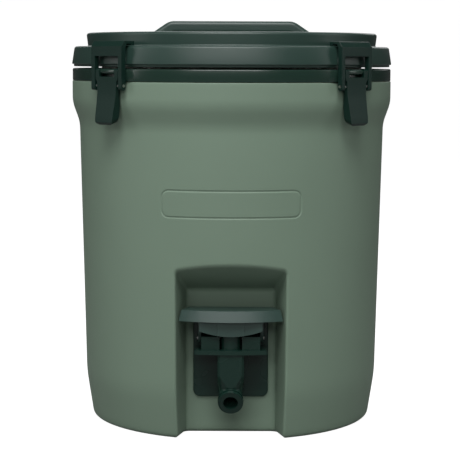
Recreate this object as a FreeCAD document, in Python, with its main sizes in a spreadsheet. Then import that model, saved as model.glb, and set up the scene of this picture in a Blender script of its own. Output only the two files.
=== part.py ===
import FreeCAD, Part

# Large insulated water jug with a latched lid and a push-lever spigot.
#
# Frame: origin at the centre of the base, on the resting plane. +Z up, -Y is the
# spigot side, +X to the right of someone facing the spigot. Millimetres.

import math
import os
import re
import Sketcher

SIZES = {
    # outer shell, radii of its outline from the base up
    "base_radius": 126.6, "foot_inner": 112, "foot_rise": 1.5,
    "kick_height": 40, "kick_radius": 132.8,
    "waist_height": 268, "waist_radius": 138.1,
    "shoulder_height": 286, "shoulder_radius": 144.5, "shell_top": 305.5,
    "shell_wall": 3, "bond_gap": 0.3, "wall_bend": 30, "base_round": 4,
    "fill_y": 60, "fill_radius": 9,
    # spigot recess in the front of the shell
    "recess_depth_y": 92, "recess_half": 38.5, "recess_draft": 14.5,
    "recess_top": 126.7, "ceiling_slope": 30, "recess_edge": 3.5,
    # blank outline above the recess
    "outline_half": 60, "outline_low": 191, "outline_high": 216,
    "outline_line": 2.4, "outline_depth": 0.6, "outline_chop": 6,
    # liner and lid mouth
    "liner_wall": 2.5, "mouth_radius": 119.2, "throat_radius": 107,
    "cavity_floor": 46, "cavity_radius": 101, "ledge_height": 303,
    "liner_front": 76, "floor_round": 12, "foam_disc": 138.5,
    # collar ring
    "collar_low": 305.8, "collar_top": 316.5, "collar_radius": 144.3,
    "liner_lip": 126, "collar_plate": 3.5, "pad_reach": 144.7,
    "pad_half": 19, "pad_foot": 25.6,
    # lid
    "flange_low": 320.2, "flange_radius": 145, "lip_low": 318.2, "lip_radius": 143.2,
    "flange_top": 336.1, "flange_top_radius": 142.4,
    "rim_foot": 130.3, "rim_radius": 131.8, "lid_top_height": 348.1,
    "dish_floor": 322, "dish_radius": 112, "dish_rim": 124.5,
    "plug_radius": 118, "plug_nose": 105, "plug_low": 298, "gasket_top": 306.1,
    # carry handle
    "handle_top": 359, "handle_half": 56, "handle_slope": 34,
    "handle_thick": 11, "handle_width": 34,
    "handle_bend": 14, "handle_bend_in": 8, "handle_round": 3.6,
    "foot_thick": 3.2, "foot_lip": 7, "foot_out": 108, "foot_in": 86,
    "screw_x": 98, "screw_y": 20.5, "screw_radius": 1.6, "screw_head": 3.2,
    "slot_wide": 0.9, "slot_deep": 0.9,
    # latch: hinge pin, link pin, lever and link
    "hinge_out": 147.5, "hinge_height": 314.3, "link_out": 148.2, "link_height": 302.2,
    "pin_radius": 1.2, "pin_play": 0.05, "knuckle_radius": 2.3, "knuckle_half": 9.2,
    "lever_half": 14.3, "lever_low": 269, "lever_out": 154.0, "lever_front": 150.3,
    "lever_tip_half": 10.7, "lever_wall": 2.2, "slot_low": 309.8,
    "link_front": 150.5, "link_back": 145.8, "link_half": 19.5, "link_inner": 15,
    "link_low": 298.4, "window_top": 327.3, "link_top": 340, "hook_reach": 136,
    "hook_gap": 0.4, "hook_lip": 3,
    # spigot
    "shank_height": 64, "shank_radius": 9, "water_radius": 5,
    "barrel_y": 112, "barrel_radius": 10.45, "bore_radius": 6.3, "bend_radius": 12,
    "sleeve_half": 11.3, "sleeve_flat": 9.4, "sleeve_corner": 1.9, "sleeve_low": 43,
    "clamp_radius": 16, "washer_radius": 14, "nut_corner": 16, "nut_tall": 8,
    "chamber_radius": 7.5, "gland_radius": 4.2, "spring_room": 6.6,
    "spout_tilt": 22, "spout_cross": 37.2, "spout_reach": 12.9,
    "deck_low": 74, "deck_top": 77.5, "deck_half": 30.75, "deck_front": 125,
    "block_in": 9.7, "block_out": 25.2, "block_top": 89, "boss_radius": 9,
    "block_front": 119.8, "plate_half": 32.5, "plate_low": 32.3, "plate_high": 105,
    "plate_thick": 2.4, "plate_round": 6,
    # paddle and valve
    "pivot_y": 100, "pivot_height": 85, "paddle_low": 102.7, "paddle_top": 112.1,
    "paddle_front": 130, "paddle_back": 97, "paddle_half": 44.6, "paddle_arc": 107,
    "skirt_half": 27, "skirt_round": 79, "skirt_height": 168.6, "skirt_front": 123.4,
    "middle_half": 11.5, "middle_front": 124.4, "cam_low": 97.3, "cam_half": 3,
    "arm_x": 26.9, "arm_thick": 2.8, "pivot_bore": 1.5, "cap_radius": 6.2, "cap_low": 93.4,
    "stem_radius": 2.5, "seat_height": 50, "seat_radius": 4.5, "coil_radius": 5.2,
}

DOC = FreeCAD.newDocument("water_jug")
SHEET = DOC.addObject("Spreadsheet::Sheet", "Sizes")
for row, (alias, value) in enumerate(SIZES.items(), 1):
    SHEET.set(f"A{row}", str(value))
    SHEET.setAlias(f"A{row}", alias)
DOC.recompute()

FRONT = FreeCAD.Rotation(FreeCAD.Vector(1, 0, 0), 90)      # turns +Z to -Y
SIDE = FreeCAD.Rotation(FreeCAD.Vector(0, 1, 0), 90)       # turns +Z to +X
REACH = 170                                                # past every outer face
THROUGH = "400"                                            # length that cuts right through
PARTS = []                                                 # objects to export, in order


def size(alias):
    """Value of one cell of the sheet."""
    return float(SHEET.get(alias))


def formula(text):
    """The text with each cell's name written as an expression reference."""
    return re.sub(r"[a-z_]+", lambda m: f"Sizes.{m[0]}" if m[0] in SIZES else m[0], str(text))


def bind(item, prop, text):
    item.setExpression(prop, formula(text))


def finish(item, label):
    """Name an object as a sub-part that is exported."""
    item.Label = label
    PARTS.append(item)
    return item


# ---------------------------------------------------------------- building blocks
def new_body(name):
    return DOC.addObject("PartDesign::Body", name)


def new_sketch(body, role, shift="0"):
    """Empty sketch on one of the body's origin planes, moved along its normal."""
    sketch = body.newObject("Sketcher::SketchObject", body.Name + "_sketch")
    plane = next(f for f in body.Origin.OriginFeatures if f.Role == role)
    sketch.AttachmentSupport = [(plane, "")]
    sketch.MapMode = "FlatFace"
    bind(sketch, "AttachmentOffset.Base.z", shift)
    return sketch


def polygon(sketch, corners):
    """Closed polygon whose corners are pairs of formulas, each held to the origin."""
    first, count = sketch.GeometryCount, len(corners)
    ring = [
        FreeCAD.Vector(math.cos(math.tau * i / count), math.sin(math.tau * i / count), 0)
        for i in range(count)
    ]
    for i in range(count):
        sketch.addGeometry(Part.LineSegment(ring[i], ring[(i + 1) % count]))
    for i in range(count):
        nxt = first + (i + 1) % count
        sketch.addConstraint(Sketcher.Constraint("Coincident", first + i, 2, nxt, 1))
    for i, (across, up) in enumerate(corners):
        for kind, start, text in (("DistanceX", ring[i].x, across), ("DistanceY", ring[i].y, up)):
            held = Sketcher.Constraint(kind, -1, 1, first + i, 1, start)
            bind(sketch, f"Constraints[{sketch.addConstraint(held)}]", text)


def circle(sketch, across, up, radius):
    spot = sketch.addGeometry(Part.Circle(FreeCAD.Vector(1, 1, 0), FreeCAD.Vector(0, 0, 1), 1))
    for kind, text in (("DistanceX", across), ("DistanceY", up)):
        held = Sketcher.Constraint(kind, -1, 1, spot, 3, 1.0)
        bind(sketch, f"Constraints[{sketch.addConstraint(held)}]", text)
    held = Sketcher.Constraint("Radius", spot, 1.0)
    bind(sketch, f"Constraints[{sketch.addConstraint(held)}]", radius)


def revolve(body, corners):
    """Turn a polygon in the XZ plane about the Z axis."""
    sketch = new_sketch(body, "XZ_Plane")
    polygon(sketch, corners)
    feature = body.newObject("PartDesign::Revolution", body.Name + "_turn")
    feature.Profile = sketch
    feature.ReferenceAxis = (sketch, ["V_Axis"])
    feature.Angle = 360
    return feature


def extrude(body, role, draw, length, shift="0", both=False, back=False, cut=False):
    """Pad or pocket a sketch; draw(sketch) adds the outline."""
    sketch = new_sketch(body, role, shift)
    draw(sketch)
    feature = body.newObject("PartDesign::Pocket" if cut else "PartDesign::Pad", body.Name + "_run")
    feature.Profile = sketch
    feature.SideType = "Symmetric" if both else "One side"
    feature.Reversed = back
    bind(feature, "Length", length)
    return feature


def outline(*corners):
    return lambda sketch: polygon(sketch, corners)


def disc(across, up, radius):
    return lambda sketch: circle(sketch, across, up, radius)


def edges_where(shape, test):
    return [f"Edge{i}" for i, edge in enumerate(shape.Edges, 1) if test(edge)]


def round_edges(body, radius, test):
    """Fillet on the body's edges that pass the test."""
    DOC.recompute()
    base = body.Tip
    names = edges_where(base.Shape, test)
    if not names:
        raise RuntimeError(f"{body.Name}: no edge to round")
    fillet = body.newObject("PartDesign::Fillet", body.Name + "_round")
    fillet.Base = (base, names)
    bind(fillet, "Radius", radius)
    DOC.recompute()
    return fillet


def ring_at(radius, height, near=0.3):
    """Test for a full circle about Z of this radius at this height."""
    def test(edge):
        curve = edge.Curve
        return (isinstance(curve, Part.Circle) and abs(curve.Radius - radius) < near
                and abs(curve.Center.z - height) < near and math.hypot(*curve.Center[:2]) < near)
    return test


def solid(kind, name, place=(0, 0, 0), turn=None, **sizes):
    """Part primitive with its sizes and place bound to the sheet."""
    item = DOC.addObject("Part::" + kind, name)
    for prop, text in sizes.items():
        bind(item, prop, text)
    if turn:
        item.Placement = FreeCAD.Placement(FreeCAD.Vector(), turn)
    for axis, text in zip("xyz", place):
        bind(item, "Placement.Base." + axis, text)
    return item


def tube(name, outer, inner, length, place, turn=None):
    """Plain ring or sleeve along its own axis."""
    outside = solid("Cylinder", name + "_outer", place, turn, Radius=outer, Height=length)
    inside = solid("Cylinder", name + "_inner", place, turn, Radius=inner, Height=length)
    return cut(name, outside, inside)


def fuse(name, *items):
    joined = DOC.addObject("Part::MultiFuse", name)
    joined.Shapes = list(items)
    joined.Refine = True
    return joined


def cut(name, base, *tools):
    result = DOC.addObject("Part::Cut", name)
    result.Base = base
    result.Tool = tools[0] if len(tools) == 1 else fuse(name + "_tools", *tools)
    result.Refine = True
    return result


def common(name, *items):
    shared = DOC.addObject("Part::MultiCommon", name)
    shared.Shapes = list(items)
    shared.Refine = True
    return shared


# ---------------------------------------------------------------- shell and insulation
def recess_block(name, grow):
    """The recess as a solid, grown outward by a wall thickness."""
    body = new_body(name)
    wide = f"recess_half + {grow} + ({REACH} - recess_depth_y) * tan(recess_draft)"
    back = f"-recess_depth_y + {grow}"
    extrude(body, "XY_Plane", outline((f"-recess_half - {grow}", back), (f"recess_half + {grow}", back),
            (wide, -REACH), (f"-({wide})", -REACH)), "recess_top + 80", shift="-10")
    top = f"recess_top + {grow}"
    extrude(body, "YZ_Plane", outline((f"{back} + 30", top), (back, top),
            (-REACH, f"{top} + ({REACH} - recess_depth_y) * tan(ceiling_slope)"),
            (-REACH, "300"), (f"{back} + 30", "300")), THROUGH, both=True, cut=True)
    DOC.recompute()

    def inner_edge(edge):
        box = edge.BoundBox
        on_back = abs(box.YMax + size("recess_depth_y") - grow) < 0.1
        upright = on_back and box.ZLength > 50
        level = on_back and box.ZMin > 50 and box.XLength > 50
        slanted = box.ZMin > 50 and box.YLength > 20 and box.ZLength > 20
        return upright or level or slanted

    round_edges(body, f"recess_edge + {grow}", inner_edge)
    return body


def wedge_block(name, shift):
    """Space in front of the liner's flat, with a top that slopes up and out."""
    body = new_body(name)
    front = f"-liner_front + {shift}"
    extrude(body, "YZ_Plane", outline((front, "0"), (front, "recess_top + 20"),
            (-REACH, f"recess_top + 20 + ({REACH} - liner_front) * tan(ceiling_slope + 10)"),
            (-REACH, "0")), THROUGH, both=True)
    return body


def shell_outline(inset, low, top):
    """Outline of the shell's outer face, moved in by an inset."""
    return [("0", low), (f"base_radius - {inset} + 0.4", low),
            (f"kick_radius - {inset}", "kick_height"), (f"waist_radius - {inset}", "waist_height"),
            (f"shoulder_radius - {inset}", "shoulder_height"), (f"shoulder_radius - {inset}", top),
            ("0", top)]


def make_outer_shell():
    form = new_body("shell_form")
    revolve(form, [("0", "foot_rise"), ("foot_inner", "foot_rise"), ("foot_inner + 2", "0"),
                   ("base_radius", "0"), ("kick_radius", "kick_height"),
                   ("waist_radius", "waist_height"), ("shoulder_radius", "shoulder_height"),
                   ("shoulder_radius", "shell_top"), ("0", "shell_top")])
    round_edges(form, "wall_bend", lambda e: ring_at(size("waist_radius"), size("waist_height"))(e)
                or ring_at(size("shoulder_radius"), size("shoulder_height"))(e))
    round_edges(form, "base_round", ring_at(size("base_radius"), 0))

    inside = new_body("shell_inside")
    revolve(inside, shell_outline("shell_wall", "foot_rise + shell_wall", "shell_top + 20"))
    recess = recess_block("recess_space", 0)
    walls = recess_block("recess_walls", size("shell_wall"))
    hollow = cut("shell_hollow", inside, walls)

    strip = new_body("outline_strip")
    rate = "(waist_radius - kick_radius) / (waist_height - kick_height)"
    corners = []
    for inset, height in (("outline_depth", "outline_low - 10"), ("-4", "outline_low - 10"),
                          ("-4", "outline_high + 10"), ("outline_depth", "outline_high + 10")):
        corners.append((f"kick_radius + ({height} - kick_height) * {rate} - {inset}", height))
    revolve(strip, corners)
    frame = new_body("outline_frame")
    middle = "(outline_low + outline_high) / 2"
    for grow, is_cut in (("0", False), ("-outline_line", True)):
        half, tall = f"(outline_half + {grow})", f"((outline_high - outline_low) / 2 + {grow})"
        low, high = f"{middle} - {tall}", f"{middle} + {tall}"
        extrude(frame, "XZ_Plane", outline(
            (f"-{half} + outline_chop", low), (f"{half} - outline_chop", low),
            (half, f"{low} + outline_chop"), (half, f"{high} - outline_chop"),
            (f"{half} - outline_chop", high), (f"-{half} + outline_chop", high),
            (f"-{half}", f"{high} - outline_chop"), (f"-{half}", f"{low} + outline_chop")),
            REACH, cut=is_cut, back=is_cut)
    groove = common("outline_groove", strip, frame)

    shank = solid("Cylinder", "shell_shank_hole", ("0", "-60", "shank_height"), FRONT,
                  Radius="shank_radius + bond_gap", Height="40")
    fill = solid("Cylinder", "shell_fill_hole", ("0", "fill_y", "-1"), Radius="fill_radius", Height="10")
    opened = cut("shell_opened", form, recess)
    finish(cut("shell_cut", opened, hollow, groove, shank, fill), "outer_shell")


def make_foam_and_liner():
    gap = "bond_gap"
    foam = new_body("foam_outer")
    inset = f"(shell_wall + {gap})"
    revolve(foam, shell_outline(inset, f"foot_rise + shell_wall + {gap}", "collar_low - 0.5"))
    extrude(foam, "XY_Plane", disc("0", "0", "foam_disc"), "collar_top - collar_plate - collar_low + 0.2",
            shift="collar_low - 0.5")
    room = new_body("foam_room")
    grow = "(liner_wall + bond_gap)"
    revolve(room, [("0", f"cavity_floor - {grow}"), (f"cavity_radius + {grow}", f"cavity_floor - {grow}"),
                   (f"throat_radius + {grow}", f"ledge_height - {grow}"),
                   (f"mouth_radius + {grow}", f"ledge_height - {grow}"),
                   (f"mouth_radius + {grow}", "340"), ("0", "340")])
    front = wedge_block("foam_wedge", -size("bond_gap"))
    room_cut = cut("foam_room_cut", room, front)
    walls = recess_block("foam_recess", size("shell_wall") + size("bond_gap"))
    shank = solid("Cylinder", "foam_shank_hole", ("0", "-60", "shank_height"), FRONT,
                  Radius="shank_radius + 0.5", Height="40")
    fill = solid("Cylinder", "foam_fill_hole", ("0", "fill_y", "0"), Radius="fill_radius + 0.5", Height="14")
    finish(cut("foam_cut", foam, room_cut, walls, shank, fill), "body_foam")

    outside = new_body("liner_outside")
    wall = "liner_wall"
    revolve(outside, [("0", f"cavity_floor - {wall}"), (f"cavity_radius + {wall}", f"cavity_floor - {wall}"),
                      (f"throat_radius + {wall}", f"ledge_height - {wall}"),
                      (f"mouth_radius + {wall}", f"ledge_height - {wall}"),
                      (f"mouth_radius + {wall}", f"collar_top - {wall}"),
                      ("liner_lip", f"collar_top - {wall}"), ("liner_lip", "collar_top"),
                      ("0", "collar_top")])
    round_edges(outside, f"floor_round + {wall}", ring_at(size("cavity_radius") + size("liner_wall"),
                                                 size("cavity_floor") - size("liner_wall")))
    inside = new_body("liner_inside")
    revolve(inside, [("0", "cavity_floor"), ("cavity_radius", "cavity_floor"),
                     ("throat_radius", "ledge_height - 4"), ("throat_radius", "ledge_height"),
                     ("mouth_radius", "ledge_height"), ("mouth_radius", "340"), ("0", "340")])
    round_edges(inside, "floor_round", ring_at(size("cavity_radius"), size("cavity_floor")))
    formed = cut("liner_form", outside, wedge_block("liner_wedge", 0))
    hollow = cut("liner_hollow", inside, wedge_block("liner_wedge_in", size("liner_wall")))
    shank = solid("Cylinder", "liner_shank_hole", ("0", "-60", "shank_height"), FRONT,
                  Radius="shank_radius + bond_gap", Height="40")
    finish(cut("liner_cut", formed, hollow, shank), "inner_liner")

    plug = new_body("fill_plug")
    extrude(plug, "XY_Plane", disc("0", "fill_y", "fill_radius - 0.2"), "10", shift="foot_rise - 0.5")
    finish(plug, "foam_fill_plug")


# ---------------------------------------------------------------- collar and latches
LATCHES = {"front_left": -45, "front_right": 45, "rear_right": 135, "rear_left": -135}


def about_axis(degrees):
    return FreeCAD.Placement(FreeCAD.Vector(), FreeCAD.Rotation(FreeCAD.Vector(0, 0, 1), degrees))


def place(item, label, degrees):
    item.Placement = about_axis(degrees)
    return finish(item, label)


def make_collar():
    ring = new_body("collar_band")
    revolve(ring, [("liner_lip + bond_gap", "collar_top - collar_plate"),
                   ("collar_radius - 3", "collar_top - collar_plate"), ("collar_radius - 3", "collar_low"),
                   ("collar_radius", "collar_low"), ("collar_radius", "collar_top"),
                   ("liner_lip + bond_gap", "collar_top")])
    round_edges(ring, "1", ring_at(size("collar_radius"), size("collar_top")))
    pieces, bores = [ring], []
    low, high = "hinge_height - knuckle_radius", "hinge_height + knuckle_radius - 0.2"
    for name, degrees in LATCHES.items():
        pad = new_body("pad_" + name)
        extrude(pad, "XY_Plane", outline(("-pad_foot", "-139"), ("pad_foot", "-139"),
                ("pad_foot", "-142"), ("pad_half", "-pad_reach"), ("-pad_half", "-pad_reach"),
                ("-pad_foot", "-142")), "collar_top - collar_low - 0.4", shift="collar_low")
        extrude(pad, "YZ_Plane", outline(("-143", low), ("-hinge_out", low), ("-hinge_out", high),
                ("-143", high)), "2 * knuckle_half", both=True)
        extrude(pad, "YZ_Plane", disc("-hinge_out", "hinge_height", "knuckle_radius"),
                "2 * knuckle_half", both=True)
        extrude(pad, "YZ_Plane", disc("-hinge_out", "hinge_height", "pin_radius"),
                THROUGH, both=True, cut=True)
        pad.Placement = about_axis(degrees)
        pieces.append(pad)
    finish(fuse("collar_fused", *pieces), "collar_ring")


def latch_pin(name, out, height, half):
    body = new_body(name)
    extrude(body, "YZ_Plane", disc(f"-{out}", height, "pin_radius"), f"2 * ({half})", both=True)
    return body


def latch_lever(name):
    """Lever with a hollow back, two ears for the hinge pin and a hole for the link pin."""
    body = new_body(name)
    back, ear = "146.2", "2.4"
    extrude(body, "YZ_Plane", outline(
        ("-lever_front", "hinge_height + 1.2"), ("-lever_front + 1.2", f"hinge_height + {ear}"),
        (f"-hinge_out + {ear} - 1.2", f"hinge_height + {ear}"), (f"-hinge_out + {ear}", "hinge_height + 1.4"),
        (f"-hinge_out + {ear}", "hinge_height - 2"), (f"-{back}", "hinge_height - 6"),
        (f"-{back} + 0.2", "link_height - 6"), ("-145.2", "285"), (f"-{back} - 0.4", "lever_low + 2"),
        ("-lever_out + 2", "lever_low"), ("-lever_out", "lever_low + 2"),
        ("-lever_out + 0.4", "lever_low + 7"), ("-lever_front - 1.2", "288"), ("-lever_front", "296")),
        "2 * lever_half", both=True)
    for side in ("", "-"):
        extrude(body, "XZ_Plane", outline(
            (f"{side}(lever_half + 5)", "hinge_height - 6"), (f"{side}lever_half", "hinge_height - 6"),
            (f"{side}(lever_half - 1.9)", "link_height + 3.4"), (f"{side}lever_tip_half", "lever_low - 5"),
            (f"{side}(lever_half + 5)", "lever_low - 5")), THROUGH, both=True, cut=True)
    extrude(body, "XZ_Plane", outline(("-knuckle_half - 0.4", "slot_low"), ("knuckle_half + 0.4", "slot_low"),
            ("knuckle_half + 0.4", "330"), ("-knuckle_half - 0.4", "330")), THROUGH, both=True, cut=True)
    round_edges(body, "5", lambda e: e.BoundBox.ZMin < size("lever_low") + 3.2
                and e.BoundBox.XLength < 2 and e.BoundBox.YLength > 4
                and e.BoundBox.ZMax < size("lever_low") + 4)
    room = "(lever_tip_half - lever_wall)"
    extrude(body, "XZ_Plane", outline((f"-{room}", "lever_low + 5"), (room, "lever_low + 5"),
            (room, "link_height - 5"), (f"-{room}", "link_height - 5")),
            "lever_front - lever_wall", cut=True, back=True)
    for out, height in (("hinge_out", "hinge_height"), ("link_out", "link_height")):
        play = "pin_play" if out == "hinge_out" else "0"
        extrude(body, "YZ_Plane", disc(f"-{out}", height, f"pin_radius + {play}"),
                THROUGH, both=True, cut=True)
    return body


def latch_link(name):
    """Inverted U frame whose top folds in to a hook over the lid's flange."""
    body = new_body(name)
    under = "flange_top + hook_gap"
    extrude(body, "YZ_Plane", outline(
        ("-link_front", "link_low"), ("-link_front", "link_top - 4.4"), ("-link_front + 3.5", "link_top"),
        ("-hook_reach", "link_top"), ("-hook_reach", under), ("-hook_reach - hook_lip", under),
        ("-hook_reach - hook_lip - 1", f"{under} + 1.2"), ("-link_back + 1.5", f"{under} + 1.2"),
        ("-link_back", "flange_top - 1"), ("-link_back", "link_low")), "2 * link_half", both=True)
    extrude(body, "XZ_Plane", outline(("-link_inner", "link_low - 5"), ("link_inner", "link_low - 5"),
            ("link_inner", "window_top"), ("-link_inner", "window_top")), THROUGH, both=True, cut=True)
    round_edges(body, "2.2", lambda e: abs(e.BoundBox.ZMax - size("link_low")) < 0.01
                and e.BoundBox.YLength < 0.01)
    extrude(body, "YZ_Plane", disc("-link_out", "link_height", "pin_radius + pin_play"),
            THROUGH, both=True, cut=True)
    return body


def make_latches():
    for name, degrees in LATCHES.items():
        place(latch_pin("hinge_pin_" + name, "hinge_out", "hinge_height", "lever_half"),
              "latch_hinge_pin_" + name, degrees)
        place(latch_lever("lever_" + name), "latch_lever_" + name, degrees)
        place(latch_pin("link_pin_" + name, "link_out", "link_height", "link_half + 0.4"),
              "latch_link_pin_" + name, degrees)
        place(latch_link("link_" + name), "latch_link_" + name, degrees)


# ---------------------------------------------------------------- lid
def make_lid():
    top = new_body("lid_cover")
    revolve(top, [("0", "dish_floor"), ("dish_radius", "dish_floor"), ("dish_rim", "lid_top_height - 2"),
                  ("dish_rim + 1.5", "lid_top_height"), ("rim_radius", "lid_top_height"),
                  ("rim_foot", "flange_top"), ("flange_top_radius", "flange_top"),
                  ("flange_radius", "flange_low"), ("lip_radius", "flange_low"), ("lip_radius", "lip_low"),
                  ("lip_radius - 3.2", "lip_low"), ("flange_top_radius - 3", "flange_top - 3"),
                  ("rim_foot - 2.4", "flange_top - 3"), ("rim_radius - 3.2", "lid_top_height - 6"),
                  ("dish_rim + 1", "lid_top_height - 6"), ("dish_radius + 2", "dish_floor - 3"),
                  ("0", "dish_floor - 3")])
    for x in (-1, 1):
        for y in (-1, 1):
            extrude(top, "XY_Plane", disc(f"{x} * screw_x", f"{y} * screw_y", "screw_radius"),
                    "20", shift="dish_floor - 10", back=True, cut=True)
    round_edges(top, "2.4", lambda e: ring_at(size("rim_radius"), size("lid_top_height"))(e)
                or ring_at(size("flange_top_radius"), size("flange_top"))(e))
    round_edges(top, "1", ring_at(size("flange_radius"), size("flange_low")))
    finish(top, "lid_top")

    low, nose, edge = "plug_low", "plug_nose", "gasket_top + 0.2"
    plug = new_body("plug")
    revolve(plug, [("0", low), (f"{nose} - 1", low), (nose, edge), ("plug_radius", edge),
                   ("plug_radius", "dish_floor - 3.1"), ("plug_radius - 2.5", "dish_floor - 3.1"),
                   ("plug_radius - 2.5", f"{edge} + 2.5"), (f"{nose} - 2.5", f"{edge} + 2.5"),
                   (f"{nose} - 3.5", f"{low} + 2.5"), ("0", f"{low} + 2.5")])
    finish(plug, "lid_plug")

    foam = new_body("lid_filling")
    side, floor = "plug_radius - 2.5 - bond_gap", f"{low} + 2.5 + bond_gap"
    step, under = f"{edge} + 2.5 + bond_gap", "dish_floor - 3 - bond_gap"
    revolve(foam, [("0", floor), (f"{nose} - 3.8", floor), (f"{nose} - 2.8", step), (side, step),
                   (side, under), ("0", under)])
    finish(foam, "lid_foam")

    finish(tube("mouth_gasket", "plug_radius - 0.3", "plug_nose + 0.3", "gasket_top - ledge_height - 0.3",
                ("0", "0", "ledge_height + 0.3")), "lid_gasket")


def make_handle():
    """Bridge across the dish, with a foot at each end for two screws."""
    run = "(handle_top - dish_floor - 0.2) / tan(handle_slope)"
    foot = "(dish_floor + 0.2)"
    under = "handle_top - handle_thick"
    inset = "handle_thick * (1 / sin(handle_slope))"
    inner = f"handle_half + {run} - {inset}"
    bend = f"({inner} - ({under} - {foot}) / tan(handle_slope))"
    body = new_body("handle")
    extrude(body, "XZ_Plane", outline(
        (f"-handle_half - {run}", foot), ("-handle_half", "handle_top"), ("handle_half", "handle_top"),
        (f"handle_half + {run}", foot), (f"{inner}", foot), (bend, under), (f"-{bend}", under),
        (f"-({inner})", foot)), "handle_width", both=True)
    DOC.recompute()

    def bends(edge):
        box = edge.BoundBox
        across = abs(box.YLength - size("handle_width")) < 0.1 and box.ZLength < 0.1
        return across and box.ZMin > size("handle_top") - size("handle_thick") - 0.1

    round_edges(body, "handle_bend", lambda e: bends(e) and e.BoundBox.ZMin > size("handle_top") - 0.1)
    round_edges(body, "handle_bend_in", lambda e: bends(e) and e.BoundBox.ZMin < size("handle_top") - 0.1)
    round_edges(body, "handle_round", lambda e: abs(e.BoundBox.YLength) < 0.01 and e.BoundBox.ZMax > 340)
    for side in (-1, 1):
        near, far, wide = f"{side} * foot_in", f"{side} * foot_out", "(handle_width / 2 + foot_lip)"
        extrude(body, "XY_Plane", outline((near, f"-{wide}"), (far, f"-{wide}"), (far, wide), (near, wide)),
                "foot_thick", shift=foot)
        for y in (-1, 1):
            extrude(body, "XY_Plane", disc(f"{side} * screw_x", f"{y} * screw_y", "screw_radius"),
                    "foot_thick", shift=foot, back=True, cut=True)
            extrude(body, "XY_Plane", disc(f"{side} * screw_x", f"{y} * screw_y", "screw_head + 0.4"),
                    "30", shift=f"{foot} + foot_thick", back=True, cut=True)
    finish(body, "carry_handle")

    screws = []
    for x in (-1, 1):
        for y in (-1, 1):
            spot = (f"{x} * screw_x", f"{y} * screw_y")
            shank = solid("Cylinder", "screw_shank", (*spot, "dish_floor - 2.8"),
                          Radius="screw_radius - 0.02", Height="6.4")
            head = solid("Cylinder", "screw_head", (*spot, "dish_floor + 3.4"),
                         Radius="screw_head", Height="2.2")
            slot = solid("Box", "screw_slot",
                         (f"{spot[0]} - 3.5", f"{spot[1]} - slot_wide / 2", "dish_floor + 5.6 - slot_deep"),
                         Length="7", Width="slot_wide", Height="2")
            screws.append(cut("screw", fuse("screw_blank", shank, head), slot))
    group = DOC.addObject("Part::Compound", "screw_group")
    group.Links = screws
    finish(group, "handle_screws")


# ---------------------------------------------------------------- spigot
def spout_path(low_extra):
    """Wire down the barrel, round the bend and out along the spout."""
    tilt = math.radians(90 - size("spout_tilt"))
    bend, y = size("bend_radius"), -size("barrel_y")
    cross = FreeCAD.Vector(0, y, size("spout_cross"))
    out = FreeCAD.Vector(0, -math.sin(tilt), -math.cos(tilt))
    along = bend * math.tan(tilt / 2)
    start, finish_at = cross + FreeCAD.Vector(0, 0, along), cross + out * along
    middle = FreeCAD.Vector(0, y - bend + bend * math.cos(tilt / 2), start.z - bend * math.sin(tilt / 2))
    top = FreeCAD.Vector(0, y, size("seat_height") + low_extra)
    end = cross + out * (size("spout_reach") + (5 if low_extra == 0 else 0))
    return Part.Wire([Part.LineSegment(top, start).toShape(),
                      Part.Arc(start, middle, finish_at).toShape(),
                      Part.LineSegment(finish_at, end).toShape()]), out, end


def swept(name, radius, low_extra):
    """Round rod along the spout's path."""
    path, _, _ = spout_path(low_extra)
    top = path.Vertexes[0].Point
    ring = Part.Wire([Part.Circle(top, FreeCAD.Vector(0, 0, 1), size(radius)).toShape()])
    item = DOC.addObject("Part::Feature", name)
    item.Shape = path.makePipeShell([ring], True, True)
    return item


def spout_ring(name, radius, back, length):
    """Raised ring around the spout, set back from its mouth."""
    _, out, end = spout_path(1)
    start = end - out * back
    item = DOC.addObject("Part::Feature", name)
    item.Shape = Part.makeCylinder(size("barrel_radius") + radius, length, start, out)
    return item


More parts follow.
